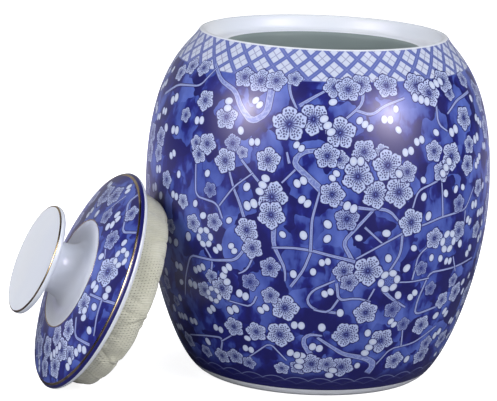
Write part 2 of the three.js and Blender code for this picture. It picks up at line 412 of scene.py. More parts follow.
class Canvas:
    """Gives each motif its own coordinates on the faces that it covers.

    A place on it is an angle and a level, which is a height on the jar and a distance from the
    axis on the lid. Motifs that share a face go in different layers. A layer that has nothing on
    a face holds coordinates there that are far outside every motif.
    """

    def __init__(self, turned, look, level_axis):
        self.turned = turned
        painted_rows = [row for row, used in enumerate(turned.looks) if used == look]
        self.faces = slice(painted_rows[0] * turned.around, (painted_rows[-1] + 1) * turned.around)
        self.stops = turned.travel[painted_rows[0]:painted_rows[-1] + 2]
        outline = turned.outline[painted_rows[0]:painted_rows[-1] + 2]
        self.radii_at_stops = outline[:, 0]
        self.heights_at_stops = outline[:, 1]
        self.levels = outline[:, level_axis]
        self.way = 1 if self.levels[-1] > self.levels[0] else -1
        place = turned.place()[self.faces]
        self.angles = place[:, :, 0] * 360 - 180
        self.lengths = place[:, :, 1]
        self.radii = np.interp(self.lengths, self.stops, self.radii_at_stops)
        size = len(self.angles)
        self.layers = {
            kind: [(np.full((size, 4, 3), NOWHERE), np.ones(size, bool)) for _ in range(count)]
            for kind, count in MOTIF_LAYERS.items()
        }
        self.taken = np.zeros((0, 4))

    def length_at(self, level):
        return float(np.interp(level, self.levels[::self.way], self.stops[::self.way]))

    def level_at(self, length):
        return float(np.interp(length, self.stops, self.levels))

    def radius_at(self, level):
        return float(np.interp(self.length_at(level), self.stops, self.radii_at_stops))

    def point(self, angle, level):
        """The place in space of a point of the painting, in the piece's own frame."""
        radius = self.radius_at(level)
        height = float(np.interp(self.length_at(level), self.stops, self.heights_at_stops))
        turn = math.radians(angle)
        return np.array([radius * math.sin(turn), -radius * math.cos(turn), height])

    def step(self, angle, level, bearing, reach):
        """A place near another, at a bearing in radians from its right."""
        across = math.degrees(reach * math.cos(bearing) / self.radius_at(level))
        return angle + across, level + reach * math.sin(bearing)

    def take(self, angle, level, reach):
        self.taken = np.vstack([self.taken, [*self.point(angle, level), reach]])

    def is_free(self, angle, level, reach):
        gaps = np.linalg.norm(self.taken[:, :3] - self.point(angle, level), axis=1)
        return bool((gaps > reach + self.taken[:, 3]).all())

    def offsets(self, angle, length):
        """How far each face corner lies to the right of a point, and further along the outline."""
        return np.radians(turn_to(self.angles, angle)) * self.radii, self.lengths - length

    def store(self, kind, covered, values):
        """Puts a motif in the first layer whose faces there are free, if there is one."""
        for layer, free in self.layers[kind]:
            if free[covered].all():
                layer[covered] = values[covered]
                free[covered] = False
                return

    def stamp(self, kind, angle, level, size, turn=0.0, note=0.0):
        """Places a round motif. turn is in degrees, and note is a number for its drawing."""
        right, up = self.offsets(angle, self.length_at(level))
        covered = (np.hypot(right, up) < size * MOTIF_REACH[kind] + FACE_REACH).any(axis=1)
        c, s = math.cos(math.radians(turn)), math.sin(math.radians(turn))
        values = np.stack([(c * right + s * up) / size, (c * up - s * right) / size,
                           np.full(right.shape, note)], axis=-1)
        self.store(kind, covered, values)

    def branch(self, route, start_width, end_width):
        """Draws a tapering branch along a route of places. Its widths are half widths."""
        middle = route[len(route) // 2][0]
        flat = []
        for angle, level in route:
            across = math.radians(turn_to(angle, middle)) * self.radius_at(level)
            flat.append((across, self.length_at(level)))
        path = np.array(evenly(eased(flat, BRANCH_EASE), BRANCH_STEP))
        right, along = self.offsets(middle, 0.0)
        low, high = path.min(axis=0) - BRANCH_MARGIN, path.max(axis=0) + BRANCH_MARGIN
        inside = (right > low[0]) & (right < high[0]) & (along > low[1]) & (along < high[1])
        near = inside.any(axis=1)
        away, run = distance_from(path, np.stack([right[near], along[near]], axis=-1))
        share = run / lengths_along(path)[-1]
        width = start_width + (end_width - start_width) * np.clip(share, 0, 1)
        values = np.zeros((len(right), 4, 3))
        values[near] = np.stack([share, away / width, width], axis=-1)
        covered = np.zeros(len(right), bool)
        beside = (np.abs(away) < width + FACE_REACH).any(axis=1)
        covered[near] = beside & (np.abs(share - 0.5) < BRANCH_SPAN).any(axis=1)
        for across, length in path[::3]:
            level = self.level_at(length)
            self.take(middle + math.degrees(across / self.radius_at(level)), level, start_width)
        self.store("branch", covered, values)

    def finish(self):
        """Writes the layers on the mesh."""
        every = np.full((self.turned.rows * self.turned.around, 4, 3), NOWHERE)
        for kind, layers in self.layers.items():
            for number, (layer, _) in enumerate(layers):
                every[self.faces] = layer
                self.turned.write(f"{kind}_{number}", every)


def distance_from(path, spots):
    """Signed distance of spots from a path and how far along it they lie. Past its ends, the
    path goes on straight, so that both numbers change evenly across a face."""
    best = np.full(spots.shape[:-1], 1e9)
    away = np.zeros_like(best)
    run = np.zeros_like(best)
    travel = lengths_along(path)
    last = len(path) - 2
    for i in range(last + 1):
        step = path[i + 1] - path[i]
        size = np.linalg.norm(step)
        step = step / size
        gap = spots - path[i]
        ahead = gap @ step
        side = gap[..., 1] * step[0] - gap[..., 0] * step[1]
        held = np.clip(ahead, 0, size)
        true_distance = np.hypot(ahead - held, side)
        closer = true_distance < best
        best = np.where(closer, true_distance, best)
        free_end = ((ahead < 0) & (i == 0)) | ((ahead > size) & (i == last))
        signed = np.where(free_end, side, np.where(side < 0, -true_distance, true_distance))
        away = np.where(closer, signed, away)
        run = np.where(closer, travel[i] + np.where(free_end, ahead, held), run)
    return away, run


# ---- the painting: where the motifs are

# A blossom is (angle, height, radius, share of blue wash over it).
JAR_BLOSSOMS = [
    # upper left
    (-64, 172, 5, 0), (-62, 165, 6, 0), (-59, 173, 7, 0), (-49, 176, 6, 0.4), (-45, 171, 4, 0.2),
    (-51, 164, 8, 0), (-36, 168, 8, 0), (-86, 168, 7, 0.1), (-86, 157, 6, 0.1), (-64, 200, 7, 0),
    (-72, 188, 5, 0.2), (-53, 192, 8, 0.1), (-78, 142, 6, 0.1), (-68, 131, 5, 0),
    (-56, 143, 5, 0.6),
    # lower left
    (-63, 118, 6, 0.1), (-54, 122, 6, 0.2), (-75, 111, 5, 0.1), (-42, 120, 8, 0),
    (-40, 108, 7, 0.1), (-34, 96, 7, 0.3), (-41, 84, 6, 0.6), (-56, 83, 5, 0.1), (-60, 72, 6, 0.1),
    (-52, 76, 8, 0), (-34, 76, 6, 0.2), (-29, 68, 9, 0), (-49, 49, 7, 0.1), (-40, 48, 7, 0.1),
    (-31, 48, 9, 0), (-84, 67, 5, 0.2), (-79, 56, 4, 0.3), (-78, 28, 6, 0.2), (-67, 24, 5, 0.3),
    (-58, 24, 6, 0.1), (-51, 26, 6, 0.2), (-45, 23, 5, 0.3),
    # middle
    (-34, 144, 10, 0), (-34, 132, 9, 0), (-22, 196, 10, 0), (-30, 192, 11, 0), (-13, 188, 10, 0),
    (-17, 173, 8, 0.1), (-13, 171, 6, 0.1), (-5, 176, 8, 0.1), (1, 176, 5, 0.1), (-7, 160, 10, 0),
    (3, 167, 10, 0), (-1, 148, 9, 0), (7, 149, 10, 0), (-15, 148, 8, 0.1), (-10, 132, 8, 0.4),
    (-2, 96, 10, 0), (-10, 96, 7, 0.2), (-8, 88, 6, 0.3), (-1, 66, 8, 0.1), (9, 67, 6, 0.6),
    (-7, 50, 9, 0.1), (7, 44, 9, 0.1), (-31, 22, 5, 0.1), (-24, 24, 6, 0.3), (-19, 27, 8, 0.1),
    (-13, 27, 6, 0.1), (-7, 25, 8, 0.1), (16, 27, 7, 0.1),
    # right
    (10, 162, 7, 0.1), (21, 174, 7, 0.1), (24, 160, 7, 0.1), (29, 169, 9, 0), (40, 174, 6, 0.1),
    (38, 161, 7, 0.1), (12, 128, 9, 0), (33, 136, 6, 0.5), (46, 143, 6, 0.1), (47, 113, 6, 0.1),
    (34, 117, 7, 0.2), (22, 115, 7, 0.1), (18, 95, 5, 0.6), (24, 79, 5, 0.6), (36, 81, 5, 0.3),
    (40, 71, 7, 0.1), (32, 68, 6, 0.1), (15, 55, 5, 0.6), (24, 52, 7, 0.1), (31, 36, 6, 0.3),
    (31, 27, 7, 0.1), (43, 35, 7, 0.2), (39, 192, 8, 0.1), (58, 180, 8, 0), (60, 150, 9, 0.1),
    # along the trellis
    (-86, 212, 6, 0.1), (-80, 218, 6, 0.1), (-72, 219, 6, 0.1), (-50, 218, 7, 0.1),
    (-43, 217, 8, 0.1), (-37, 218, 7, 0.1), (-30, 220, 5, 0.1), (-15, 216, 7, 0.1),
    (-10, 215, 8, 0.1), (-5, 218, 7, 0.1), (5, 217, 8, 0.1), (18, 216, 9, 0.1), (23, 211, 9, 0),
    (33, 217, 8, 0.1), (34, 209, 5, 0.2), (48, 215, 6, 0.2),
]
# A wreath is (angle, height, radius).
JAR_WREATHS = [(-58, 110, 8), (6, 88, 9), (29, 111, 9), (-56, 70, 7)]
# A branch is its route of (angle, height), then its half width at each end.
JAR_BRANCHES = [
    ([(-38, 212), (-38, 198), (-43, 191), (-48, 199), (-52, 209), (-60, 214), (-66, 222)], 2.4, 1.2),
    ([(-92, 196), (-83, 205), (-69, 208), (-65, 220)], 0.8, 0.5),
    ([(-32, 219), (-31, 211), (-28, 202)], 0.9, 0.6),
    ([(-27, 204), (-22, 210), (-17, 215)], 1.2, 0.6),
    ([(-4, 221), (-5, 206), (-11, 197)], 1.2, 0.6),
    ([(-7, 202), (-2, 199), (3, 205), (11, 209)], 0.9, 0.6),
    ([(48, 207), (37, 204), (30, 197)], 1.0, 0.5),
    ([(25, 204), (24, 191), (28, 186)], 0.8, 0.5),
    ([(-63, 160), (-62, 137), (-53, 135), (-51, 126)], 0.5, 0.6),
    ([(-49, 157), (-47, 146), (-45, 139), (-43, 128)], 0.6, 1.0),
    ([(-45, 166), (-41, 158), (-37, 150)], 0.7, 0.8),
    ([(-41, 158), (-47, 148), (-52, 134)], 0.4, 0.5),
    ([(-15, 178), (-25, 175), (-28, 168), (-24, 161), (-17, 148)], 1.0, 2.4),
    ([(-27, 163), (-31, 154)], 0.6, 0.5),
    ([(-30, 174), (-29, 167)], 0.6, 0.8),
    ([(-33, 124), (-33, 112), (-29, 96), (-29, 88)], 1.7, 0.5),
    ([(-33, 110), (-27, 111), (-21, 110), (-7, 103)], 0.6, 1.0),
    ([(-19, 149), (-21, 131), (-21, 110)], 0.6, 0.9),
    ([(-21, 108), (-23, 96), (-27, 84)], 0.7, 0.9),
    ([(-58, 103), (-55, 95), (-56, 87)], 0.5, 0.7),
    ([(-43, 106), (-46, 98), (-55, 95), (-65, 95), (-69, 78), (-71, 65)], 0.9, 0.4),
    ([(-40, 101), (-42, 92), (-45, 89)], 0.6, 0.4),
    ([(-50, 68), (-41, 66), (-39, 74)], 0.4, 0.6),
    ([(-75, 33), (-64, 37), (-55, 39), (-58, 27)], 0.5, 0.7),
    ([(-56, 36), (-49, 44)], 0.5, 0.4),
    ([(-45, 27), (-35, 41), (-29, 29)], 0.4, 0.5),
    ([(-16, 49), (-21, 50), (-23, 44), (-19, 33)], 0.6, 2.0),
    ([(-13, 89), (-20, 82), (-22, 74), (-19, 68), (-11, 66)], 0.5, 0.9),
    ([(-7, 102), (-11, 116), (-8, 123), (-1, 139)], 1.3, 0.8),
    ([(-16, 145), (-9, 140), (-1, 138)], 1.6, 0.7),
    ([(-4, 126), (2, 115)], 0.7, 0.5),
    ([(-1, 139), (4, 137), (8, 128)], 1.1, 0.6),
    ([(-6, 105), (2, 114), (10, 122)], 0.5, 0.6),
    ([(9, 122), (9, 107), (5, 93)], 0.9, 0.6),
    ([(12, 136), (14, 149), (22, 154)], 0.5, 0.6),
    ([(16, 125), (24, 129), (37, 131), (42, 144)], 0.6, 0.5),
    ([(24, 154), (25, 130)], 0.5, 0.6),
    ([(37, 130), (37, 118)], 0.6, 0.4),
    ([(22, 113), (16, 105), (15, 88)], 0.5, 0.6),
    ([(7, 87), (15, 86), (22, 87)], 0.4, 0.5),
    ([(29, 64), (19, 61), (19, 72), (22, 91), (34, 91), (47, 93)], 0.7, 0.5),
    ([(4, 82), (8, 75), (14, 68)], 1.3, 0.5),
    ([(1, 83), (-1, 74)], 0.6, 0.4),
    ([(-12, 87), (-11, 75), (-5, 77), (0, 74)], 0.9, 0.5),
    ([(-11, 76), (-14, 66), (-19, 68)], 0.7, 0.6),
    ([(-17, 47), (-7, 35), (3, 31), (7, 26), (5, 20)], 0.8, 2.4),
    ([(7, 24), (12, 37), (23, 39), (33, 48)], 0.5, 0.6),
    ([(15, 55), (17, 38)], 0.5, 0.5),
    ([(33, 99), (36, 88)], 0.5, 0.5),
]

# On the lid the second number is the distance from the lid's axis. A bud is (angle, distance, how
# many side by side, tilt).
LID_BLOSSOMS = [
    (-41, 48, 7, 0), (-62, 46, 7, 0), (-82, 53, 8, 0), (-54, 57, 8, 0), (-66, 65, 8, 0),
    (-84, 66, 7, 0.1), (-45, 64, 6, 0.1), (-102, 58, 8, 0.1), (17, 57, 10, 0), (-13, 46, 7, 0),
    (42, 53, 7, 0.4), (55, 69, 6, 0.2), (105, 58, 9, 0.3), (88, 60, 8, 0.3), (74, 48, 6, 0.4),
]
LID_WREATHS = [(26, 66, 8)]
LID_BUDS = [
    (61, 57, 2, 0), (4, 64, 2, 0), (4, 49, 2, 70), (-8, 58, 1, 0), (-18, 52, 2, 40),
    (-21, 65, 1, 0), (-36, 67, 2, 0), (-31, 71, 1, 0), (14, 46, 2, 60), (58, 50, 2, 70),
    (-62, 55, 3, 20), (-48, 69, 2, 30), (30, 45, 1, 0), (-72, 58, 1, 0),
]
LID_BRANCHES = [
    ([(67, 74), (67, 67), (56, 64), (44, 62), (40, 74)], 0.9, 0.6),
    ([(51, 52), (42, 47), (24, 50)], 0.6, 0.5),
    ([(-3, 48), (-1, 62), (1, 75)], 0.7, 0.9),
    ([(-1, 62), (-10, 64), (-20, 71)], 0.8, 0.5),
    ([(-27, 47), (-35, 57), (-26, 72)], 0.8, 0.8),
    ([(75, 66), (79, 52), (74, 43)], 0.6, 0.5),
    ([(-95, 46), (-96, 60), (-110, 70)], 0.8, 0.6),
]


# Open ground is strewn with blossoms, by (angles, levels, radii, tries, length of the longest
# twig), and then with buds, by (levels, how many).
JAR_STREWN = ((52, 270), (24, 216), (6.5, 10.5), 1500, 60)
LID_STREWN = ((100, 250), (46, 68), (6.5, 9), 300, 50)
JAR_SCATTERED = ((20, 214), 400)
LID_SCATTERED = ((43, 71), 45)


def strew_blossoms(canvas, source, angles, levels, radii, tries, longest_twig):
    """Sprays of one to three blossoms wherever the ground between two angles is open."""
    blossoms = []
    for _ in range(tries):
        angle, level = source.uniform(*angles), source.uniform(*levels)
        radius = source.uniform(*radii)
        if not canvas.is_free(angle, level, radius + SPRAY_GAP):
            continue
        for number in range(source.choice((1, 2, 2, 3))):
            reach = radius * SPRAY_SPREAD if number else 0
            place = canvas.step(angle, level, source.uniform(0, 2 * math.pi), reach)
            wash = source.choice((0, 0, 0.1, 0.1, 0.3, 0.5))
            blossoms.append((*place, radius * source.uniform(0.8, 1), wash))
            canvas.take(*place, radius)
    join_blossoms(canvas, source, blossoms, longest_twig)
    for angle, level, radius, wash in blossoms:
        canvas.stamp("blossom", angle, level, radius, source.uniform(0, 72), wash)


def join_blossoms(canvas, source, blossoms, longest):
    """Thin kinked twigs from each blossom to a near one, like cracks between plates of ice."""
    for number, (angle, level, *_) in enumerate(blossoms):
        here = canvas.point(angle, level)
        near = []
        for other_angle, other_level, *_ in blossoms[number + 1:]:
            gap = math.dist(canvas.point(other_angle, other_level), here)
            if TWIG_SHORTEST < gap < longest:
                near.append((gap, other_angle, other_level))
        for _, far_angle, far_level in sorted(near)[:2]:
            swing = turn_to(far_angle, angle)
            kink = source.uniform(-0.4, 0.4)
            middle = (angle + swing / 2 + kink * (far_level - level) / 3,
                      (level + far_level) / 2 + kink * swing)
            route = [(angle, level), middle, (angle + swing, far_level)]
            canvas.branch(route, *TWIG_WIDTHS)


def scatter_buds(canvas, source, levels, count):
    """Buds in ones, twos and threes wherever the ground is open."""
    placed = 0
    for _ in range(count * BUD_TRIES):
        angle, level = source.uniform(-180, 180), source.uniform(*levels)
        number = source.choice((1, 2, 2, 2, 3))
        size = source.uniform(3.4, 4.5)
        reach = size * (0.7 + 0.5 * (number - 1))
        if placed < count and canvas.is_free(angle, level, reach):
            canvas.stamp("bud", angle, level, size, source.triangular(-80, 80, 0), number)
            canvas.take(angle, level, reach + BUD_MARGIN)
            placed += 1


def lay_out(canvas, blossoms, wreaths, branches, source):
    """Puts the listed motifs on a canvas and keeps their places from the scattered ones."""
    for route, start_width, end_width in branches:
        canvas.branch(route, start_width, end_width)
    for angle, level, radius, wash in blossoms:
        canvas.stamp("blossom", angle, level, radius * BLOSSOM_SPREAD, source.uniform(0, 72), wash)
        canvas.take(angle, level, radius)
    for angle, level, radius in wreaths:
        canvas.stamp("wreath", angle, level, radius, source.uniform(0, 60))
        canvas.take(angle, level, radius)


def paint_jar(canvas):
    source = random.Random(SEED)
    lay_out(canvas, JAR_BLOSSOMS, JAR_WREATHS, JAR_BRANCHES, source)
    strew_blossoms(canvas, source, *JAR_STREWN)
    for angle, level, radius, _ in JAR_BLOSSOMS:
        if radius > CLUSTER_RADIUS and source.random() < CLUSTER_CHANCE:
            place = canvas.step(angle, level, source.uniform(0, 2 * math.pi), radius)
            canvas.stamp("bud", *place, BUD_SIZE, source.uniform(-90, 90), source.choice((1, 2, 3)))
    scatter_buds(canvas, source, *JAR_SCATTERED)
    canvas.finish()


def paint_lid(canvas):
    source = random.Random(SEED + 1)
    lay_out(canvas, LID_BLOSSOMS, LID_WREATHS, LID_BRANCHES, source)
    for angle, level, number, tilt in LID_BUDS:
        canvas.stamp("bud", angle, level, BUD_SIZE, tilt, number)
        canvas.take(angle, level, BUD_SIZE)
    strew_blossoms(canvas, source, *LID_STREWN)
    scatter_buds(canvas, source, *LID_SCATTERED)
    canvas.finish()


# ---- node trees

def colour(*levels):
    """A colour for a shader from its usual 0 to 255 numbers."""
    shares = [level / 255 for level in levels]
    return (*(c / 12.92 if c < 11 / 255 else ((c + 0.055) / 1.055) ** 2.4 for c in shares), 1.0)


def operation(kind):
    """A method of Wire that adds a Math node for its value and for any other value."""
    return lambda wire, *others: wire.nodes.math(kind, wire, *others)


class Wire:
    """A value inside a node tree. Arithmetic on it adds Math nodes."""

    def __init__(self, nodes, socket):
        self.nodes = nodes
        self.socket = socket

    __add__ = __radd__ = operation("ADD")
    __sub__ = operation("SUBTRACT")
    __mul__ = __rmul__ = operation("MULTIPLY")
    __truediv__ = operation("DIVIDE")
    least = operation("MINIMUM")
    most = operation("MAXIMUM")
    fraction = operation("FRACT")
    absolute = operation("ABSOLUTE")
    cosine = operation("COSINE")
    sine = operation("SINE")

    def __rsub__(self, other):
        return self.nodes.math("SUBTRACT", other, self)

    def ramp(self, start, end):
        """0 at start and 1 at end with a smooth step between, and start may be above end."""
        limits = [self, start, end]
        return self.nodes.add("ShaderNodeMapRange", limits, interpolation_type="SMOOTHSTEP")


class Nodes:
    """Adds nodes to one tree by short calls."""

    def __init__(self, tree):
        self.tree = tree

    def node(self, kind, inputs=(), **settings):
        node = self.tree.nodes.new(kind)
        for name, value in settings.items():
            setattr(node, name, value)
        pairs = inputs.items() if isinstance(inputs, dict) else enumerate(inputs)
        for key, value in pairs:
            if isinstance(value, Wire):
                self.tree.links.new(value.socket, node.inputs[key])
            elif value is not None:
                node.inputs[key].default_value = value
        return node

    def add(self, kind, inputs=(), output=0, **settings):
        return Wire(self, self.node(kind, inputs, **settings).outputs[output])

    def math(self, operation, *values):
        return self.add("ShaderNodeMath", values, operation=operation)

    def length(self, x, y):
        return self.math("SQRT", x * x + y * y)

    def vector(self, x, y, z=0.0):
        return self.add("ShaderNodeCombineXYZ", [x, y, z])

    def split(self, wire):
        node = self.node("ShaderNodeSeparateXYZ", [wire])
        return [Wire(self, output) for output in node.outputs]

    def vector_math(self, operation, a, b, output=0):
        return self.add("ShaderNodeVectorMath", [a, b], output, operation=operation)

    def scaled(self, wire, scale):
        return self.vector_math("MULTIPLY", wire, (scale, scale, scale))

    def attribute(self, name):
        return self.add("ShaderNodeAttribute", output="Vector", attribute_name=name)

    def noise(self, point, scale, detail=2.0, output=0):
        inputs = {"Vector": point, "Scale": scale, "Detail": detail}
        return self.add("ShaderNodeTexNoise", inputs, output)

    def clouds(self, point, scale, detail, first, second):
        """Two colours in soft clouds."""
        return self.blend(self.noise(point, scale, detail).ramp(0.3, 0.7), first, second)

    def centred(self, wire):
        """A vector of shares, less a half each."""
        return self.vector_math("SUBTRACT", wire, (0.5, 0.5, 0.5))

    def spot(self):
        """The point being shaded, in metres in the piece's own frame."""
        return self.add("ShaderNodeTexCoord", output="Object")

    def bump(self, height, strength, distance):
        return self.add("ShaderNodeBump",
                        {"Strength": strength, "Distance": distance, "Height": height})

    def surface(self, sockets):
        """Ends a material's tree in a Principled shader."""
        shader = self.node("ShaderNodeBsdfPrincipled", sockets)
        self.node("ShaderNodeOutputMaterial", [Wire(self, shader.outputs[0])])

    def blend(self, share, under, over):
        node = self.node("ShaderNodeMix", {0: share, 6: under, 7: over}, data_type="RGBA")
        return Wire(self, node.outputs[2])

    def shades(self, value, stops):
        """Colour looked up in a ramp of (place, colour) stops."""
        node = self.node("ShaderNodeValToRGB", [value])
        ramp = node.color_ramp
        while len(ramp.elements) < len(stops):
            ramp.elements.new(1.0)
        for element, (place, shade) in zip(ramp.elements, stops):
            element.position = place
            element.color = shade
        return Wire(self, node.outputs[0])


def group_of(name, draw):
    """A node group that draws one motif from its local coordinates, as a colour and a cover."""
    tree = bpy.data.node_groups.new(name, "ShaderNodeTree")
    tree.interface.new_socket("Spot", in_out="INPUT", socket_type="NodeSocketVector")
    tree.interface.new_socket("Paint", in_out="OUTPUT", socket_type="NodeSocketColor")
    tree.interface.new_socket("Cover", in_out="OUTPUT", socket_type="NodeSocketFloat")
    nodes = Nodes(tree)
    paint, cover = draw(nodes, nodes.add("NodeGroupInput"))
    nodes.node("NodeGroupOutput", [paint, cover])
    return tree


# ---- the painting: how each motif is drawn

NAVY = colour(7, 12, 92)
DEEP_BLUE = colour(16, 27, 120)
MID_BLUE = colour(54, 75, 158)
PALE_BLUE = colour(82, 104, 186)
OUTLINE_BLUE = colour(14, 18, 98)
PETAL_WHITE = colour(177, 190, 224)
PETAL_SHADE = colour(92, 111, 182)
BUD_WHITE = colour(200, 208, 222)
BRANCH_PALE = colour(146, 158, 204)
BRANCH_BODY = colour(106, 122, 184)
TRELLIS_WHITE = colour(192, 200, 219)
TRELLIS_BLUE = colour(86, 101, 170)
TRELLIS_GREY = colour(144, 150, 184)
FOOT_WHITE = colour(240, 243, 248)
GLAZE_WHITE = colour(226, 230, 236)

PETALS = 5
STAMENS = 3
PETAL_CENTRE = 0.6
PETAL_RADIUS = 0.385
LOBE_DEPTH = 0.07
LOBE_COUNT = 5
HEART_RADIUS = 0.5
TREMBLE = 0.2
TREMBLE_SCALE = 4.2
WREATH_BUDS = 6
WREATH_RING = 0.66
WREATH_OVAL = (0.27, 0.34)
BUD_STEP = 1.16
BUD_OVAL = (0.62, 0.78)
# Stamen dots of half a petal, as (along, across) from its middle.
PETAL_DOTS = [(-0.1, 0.0), (0.04, 0.09), (0.2, 0.0), (0.16, 0.2), (-0.03, 0.22), (-0.17, 0.14)]


def folded(nodes, x, y, count):
    """Distance from the middle, and the angle from the nearest of count spokes."""
    slice_angle = 2 * math.pi / count
    spokes = nodes.math("ARCTAN2", y, x) / slice_angle
    fold = ((spokes + 10.5).fraction() - 0.5).absolute() * slice_angle
    return nodes.length(x, y), fold, spokes


def speckles(nodes, x, y, scale, size):
    """Small dots strewn over a motif."""
    cells = nodes.node("ShaderNodeTexVoronoi", {"Vector": nodes.vector(x, y), "Scale": scale},
                       voronoi_dimensions="2D")
    return Wire(nodes, cells.outputs["Distance"]).ramp(size + 0.1, size)


def draw_blossom(nodes, spot):
    """Five lobed petals with a dark outline, clefts between them, stamens and their dots."""
    x, y, wash = nodes.split(spot)
    tremble = nodes.noise(nodes.vector(x, y, wash), TREMBLE_SCALE, output=1)
    shift_x, shift_y, _ = nodes.split(nodes.centred(tremble))
    x = x + shift_x * TREMBLE
    y = y + shift_y * TREMBLE
    reach, fold, spokes = folded(nodes, x, y, PETALS)
    along = reach * fold.cosine() - PETAL_CENTRE
    across = reach * fold.sine()
    lobe_turn = nodes.math("ARCTAN2", across, along) * (LOBE_COUNT / 2)
    lobes = lobe_turn.cosine().absolute() * LOBE_DEPTH
    edge = (nodes.length(along, across) - lobes - PETAL_RADIUS).least(reach - HEART_RADIUS)
    cleft = reach * (math.pi / PETALS - fold).sine()
    stamen_turn = (spokes * STAMENS).fraction()
    stamen_gap = (stamen_turn - 0.5).absolute() * reach * (2 * math.pi / PETALS / STAMENS)
    dot = nodes.length(along - PETAL_DOTS[0][0], across - PETAL_DOTS[0][1])
    for ahead, beside in PETAL_DOTS[1:]:
        dot = dot.least(nodes.length(along - ahead, across - beside))

    paint = nodes.blend(reach.ramp(0.05, 0.55), PETAL_SHADE, PETAL_WHITE)
    paint = nodes.blend(wash, paint, MID_BLUE)
    paint = nodes.blend(dot.ramp(0.075, 0.045) * 0.9, paint, OUTLINE_BLUE)
    stamens = stamen_gap.ramp(0.045, 0.022) * reach.ramp(0.48, 0.4) * reach.ramp(0.08, 0.12)
    paint = nodes.blend(stamens * 0.85, paint, OUTLINE_BLUE)
    paint = nodes.blend(cleft.ramp(0.045, 0.02) * reach.ramp(0.3, 0.45) * 0.85, paint, OUTLINE_BLUE)
    ring = reach.ramp(0.16, 0.12) * reach.ramp(0.04, 0.08)
    paint = nodes.blend(ring, paint, OUTLINE_BLUE)
    rim = edge.ramp(-0.1, -0.04) * 0.5
    paint = nodes.blend(rim, paint, PETAL_WHITE)
    paint = nodes.blend(edge.ramp(-0.045, -0.01), paint, OUTLINE_BLUE)
    return paint, edge.ramp(0.08, 0.04)


def draw_wreath(nodes, spot):
    """A ring of plump white buds round a speckled middle."""
    x, y, _ = nodes.split(spot)
    reach, fold, _ = folded(nodes, x, y, WREATH_BUDS)
    along = reach * fold.cosine() - WREATH_RING
    across = reach * fold.sine()
    edge = nodes.length(along / WREATH_OVAL[0], across / WREATH_OVAL[1]) - 1
    inner = nodes.blend(speckles(nodes, x, y, 9.0, 0.22), PETAL_SHADE, OUTLINE_BLUE)
    ovals = nodes.blend(edge.ramp(-0.8, 0.0), BUD_WHITE, PETAL_WHITE)
    ovals = nodes.blend(edge.ramp(-0.1, 0.02), ovals, OUTLINE_BLUE)
    paint = nodes.blend(edge.ramp(0.2, 0.1), inner, ovals)
    return paint, edge.ramp(0.22, 0.12).most(reach.ramp(0.62, 0.55))


def draw_bud(nodes, spot):
    """One, two or three plump ovals side by side, as the spot's third number says."""
    x, y, number = nodes.split(spot)
    shift = (number - 1) * BUD_STEP / 2
    nearest = (nodes.math("ROUND", (x + shift) / BUD_STEP).most(0.0)).least(number - 1)
    from_oval = x + shift - nearest * BUD_STEP
    edge = nodes.length(from_oval / BUD_OVAL[0], y / BUD_OVAL[1]) - 1
    paint = nodes.blend(edge.ramp(-0.9, 0.0), BUD_WHITE, PETAL_WHITE)
    paint = nodes.blend(edge.ramp(-0.14, -0.04), paint, OUTLINE_BLUE)
    return paint, edge.ramp(0.2, 0.1)


def draw_branch(nodes, spot):
    """A strip with pale edges and a darker line outside them. The spot holds the share of the
    way along, the distance across in half widths, and the half width in millimetres."""
    share, across, width = nodes.split(spot)
    margin = (1 - across.absolute()) * width
    mottle = nodes.noise(nodes.vector(share * 30, across * 1.5), 1.0)
    body = nodes.blend(mottle.ramp(0.45, 0.65), BRANCH_BODY, BRANCH_PALE)
    paint = nodes.blend(margin.ramp(0.7, 0.35), body, BRANCH_PALE)
    paint = nodes.blend(margin.ramp(0.05, -0.1), paint, OUTLINE_BLUE)
    ends = share.ramp(-0.03, 0.0) * share.ramp(1.03, 1.0)
    return paint, margin.ramp(-0.65, -0.4) * ends


MOTIF_DRAWINGS = {
    "branch": draw_branch,
    "bud": draw_bud,
    "blossom": draw_blossom,
    "wreath": draw_wreath,
}
MOTIF_GROUPS = {kind: group_of(kind, draw) for kind, draw in MOTIF_DRAWINGS.items()}

PLATE_SIZE = 22.0
SWIRL_SIZE = 16
SWIRL_REACH = 20


def ice_ground(nodes):
    """Plates of blue wash, each shaded from one side to the other, with soft crooked edges."""
    point = nodes.scaled(nodes.spot(), 1 / MM)
    swirl = nodes.centred(nodes.noise(point, 1 / SWIRL_SIZE, output=1))
    bent = nodes.vector_math("ADD", point, nodes.scaled(swirl, SWIRL_REACH))
    plates = nodes.node("ShaderNodeTexVoronoi", {"Vector": bent, "Scale": 1 / PLATE_SIZE})
    chance = nodes.centred(Wire(nodes, plates.outputs["Color"]))
    offset = nodes.vector_math("SUBTRACT", bent, Wire(nodes, plates.outputs["Position"]))
    slope = nodes.vector_math("DOT_PRODUCT", offset, chance, output="Value")
    brushed = nodes.noise(nodes.vector_math("MULTIPLY", point, (0.09, 0.09, 0.05)), 1.0, 3.0)
    tone = slope * 0.06 + 0.5 + (brushed - 0.5) * 1.5
    return nodes.shades(tone, [(0.25, NAVY), (0.45, DEEP_BLUE), (0.56, MID_BLUE), (1.0, PALE_BLUE)])


def with_motifs(nodes, paint):
    """Lays every layer of motifs over the paint, branches first."""
    for kind, count in MOTIF_LAYERS.items():
        for number in range(count):
            spot = nodes.attribute(f"{kind}_{number}")
            motif = nodes.node("ShaderNodeGroup", node_tree=MOTIF_GROUPS[kind])
            nodes.tree.links.new(spot.socket, motif.inputs[0])
            over, cover = (Wire(nodes, motif.outputs[name]) for name in ("Paint", "Cover"))
            paint = nodes.blend(cover, paint, over)
    return paint


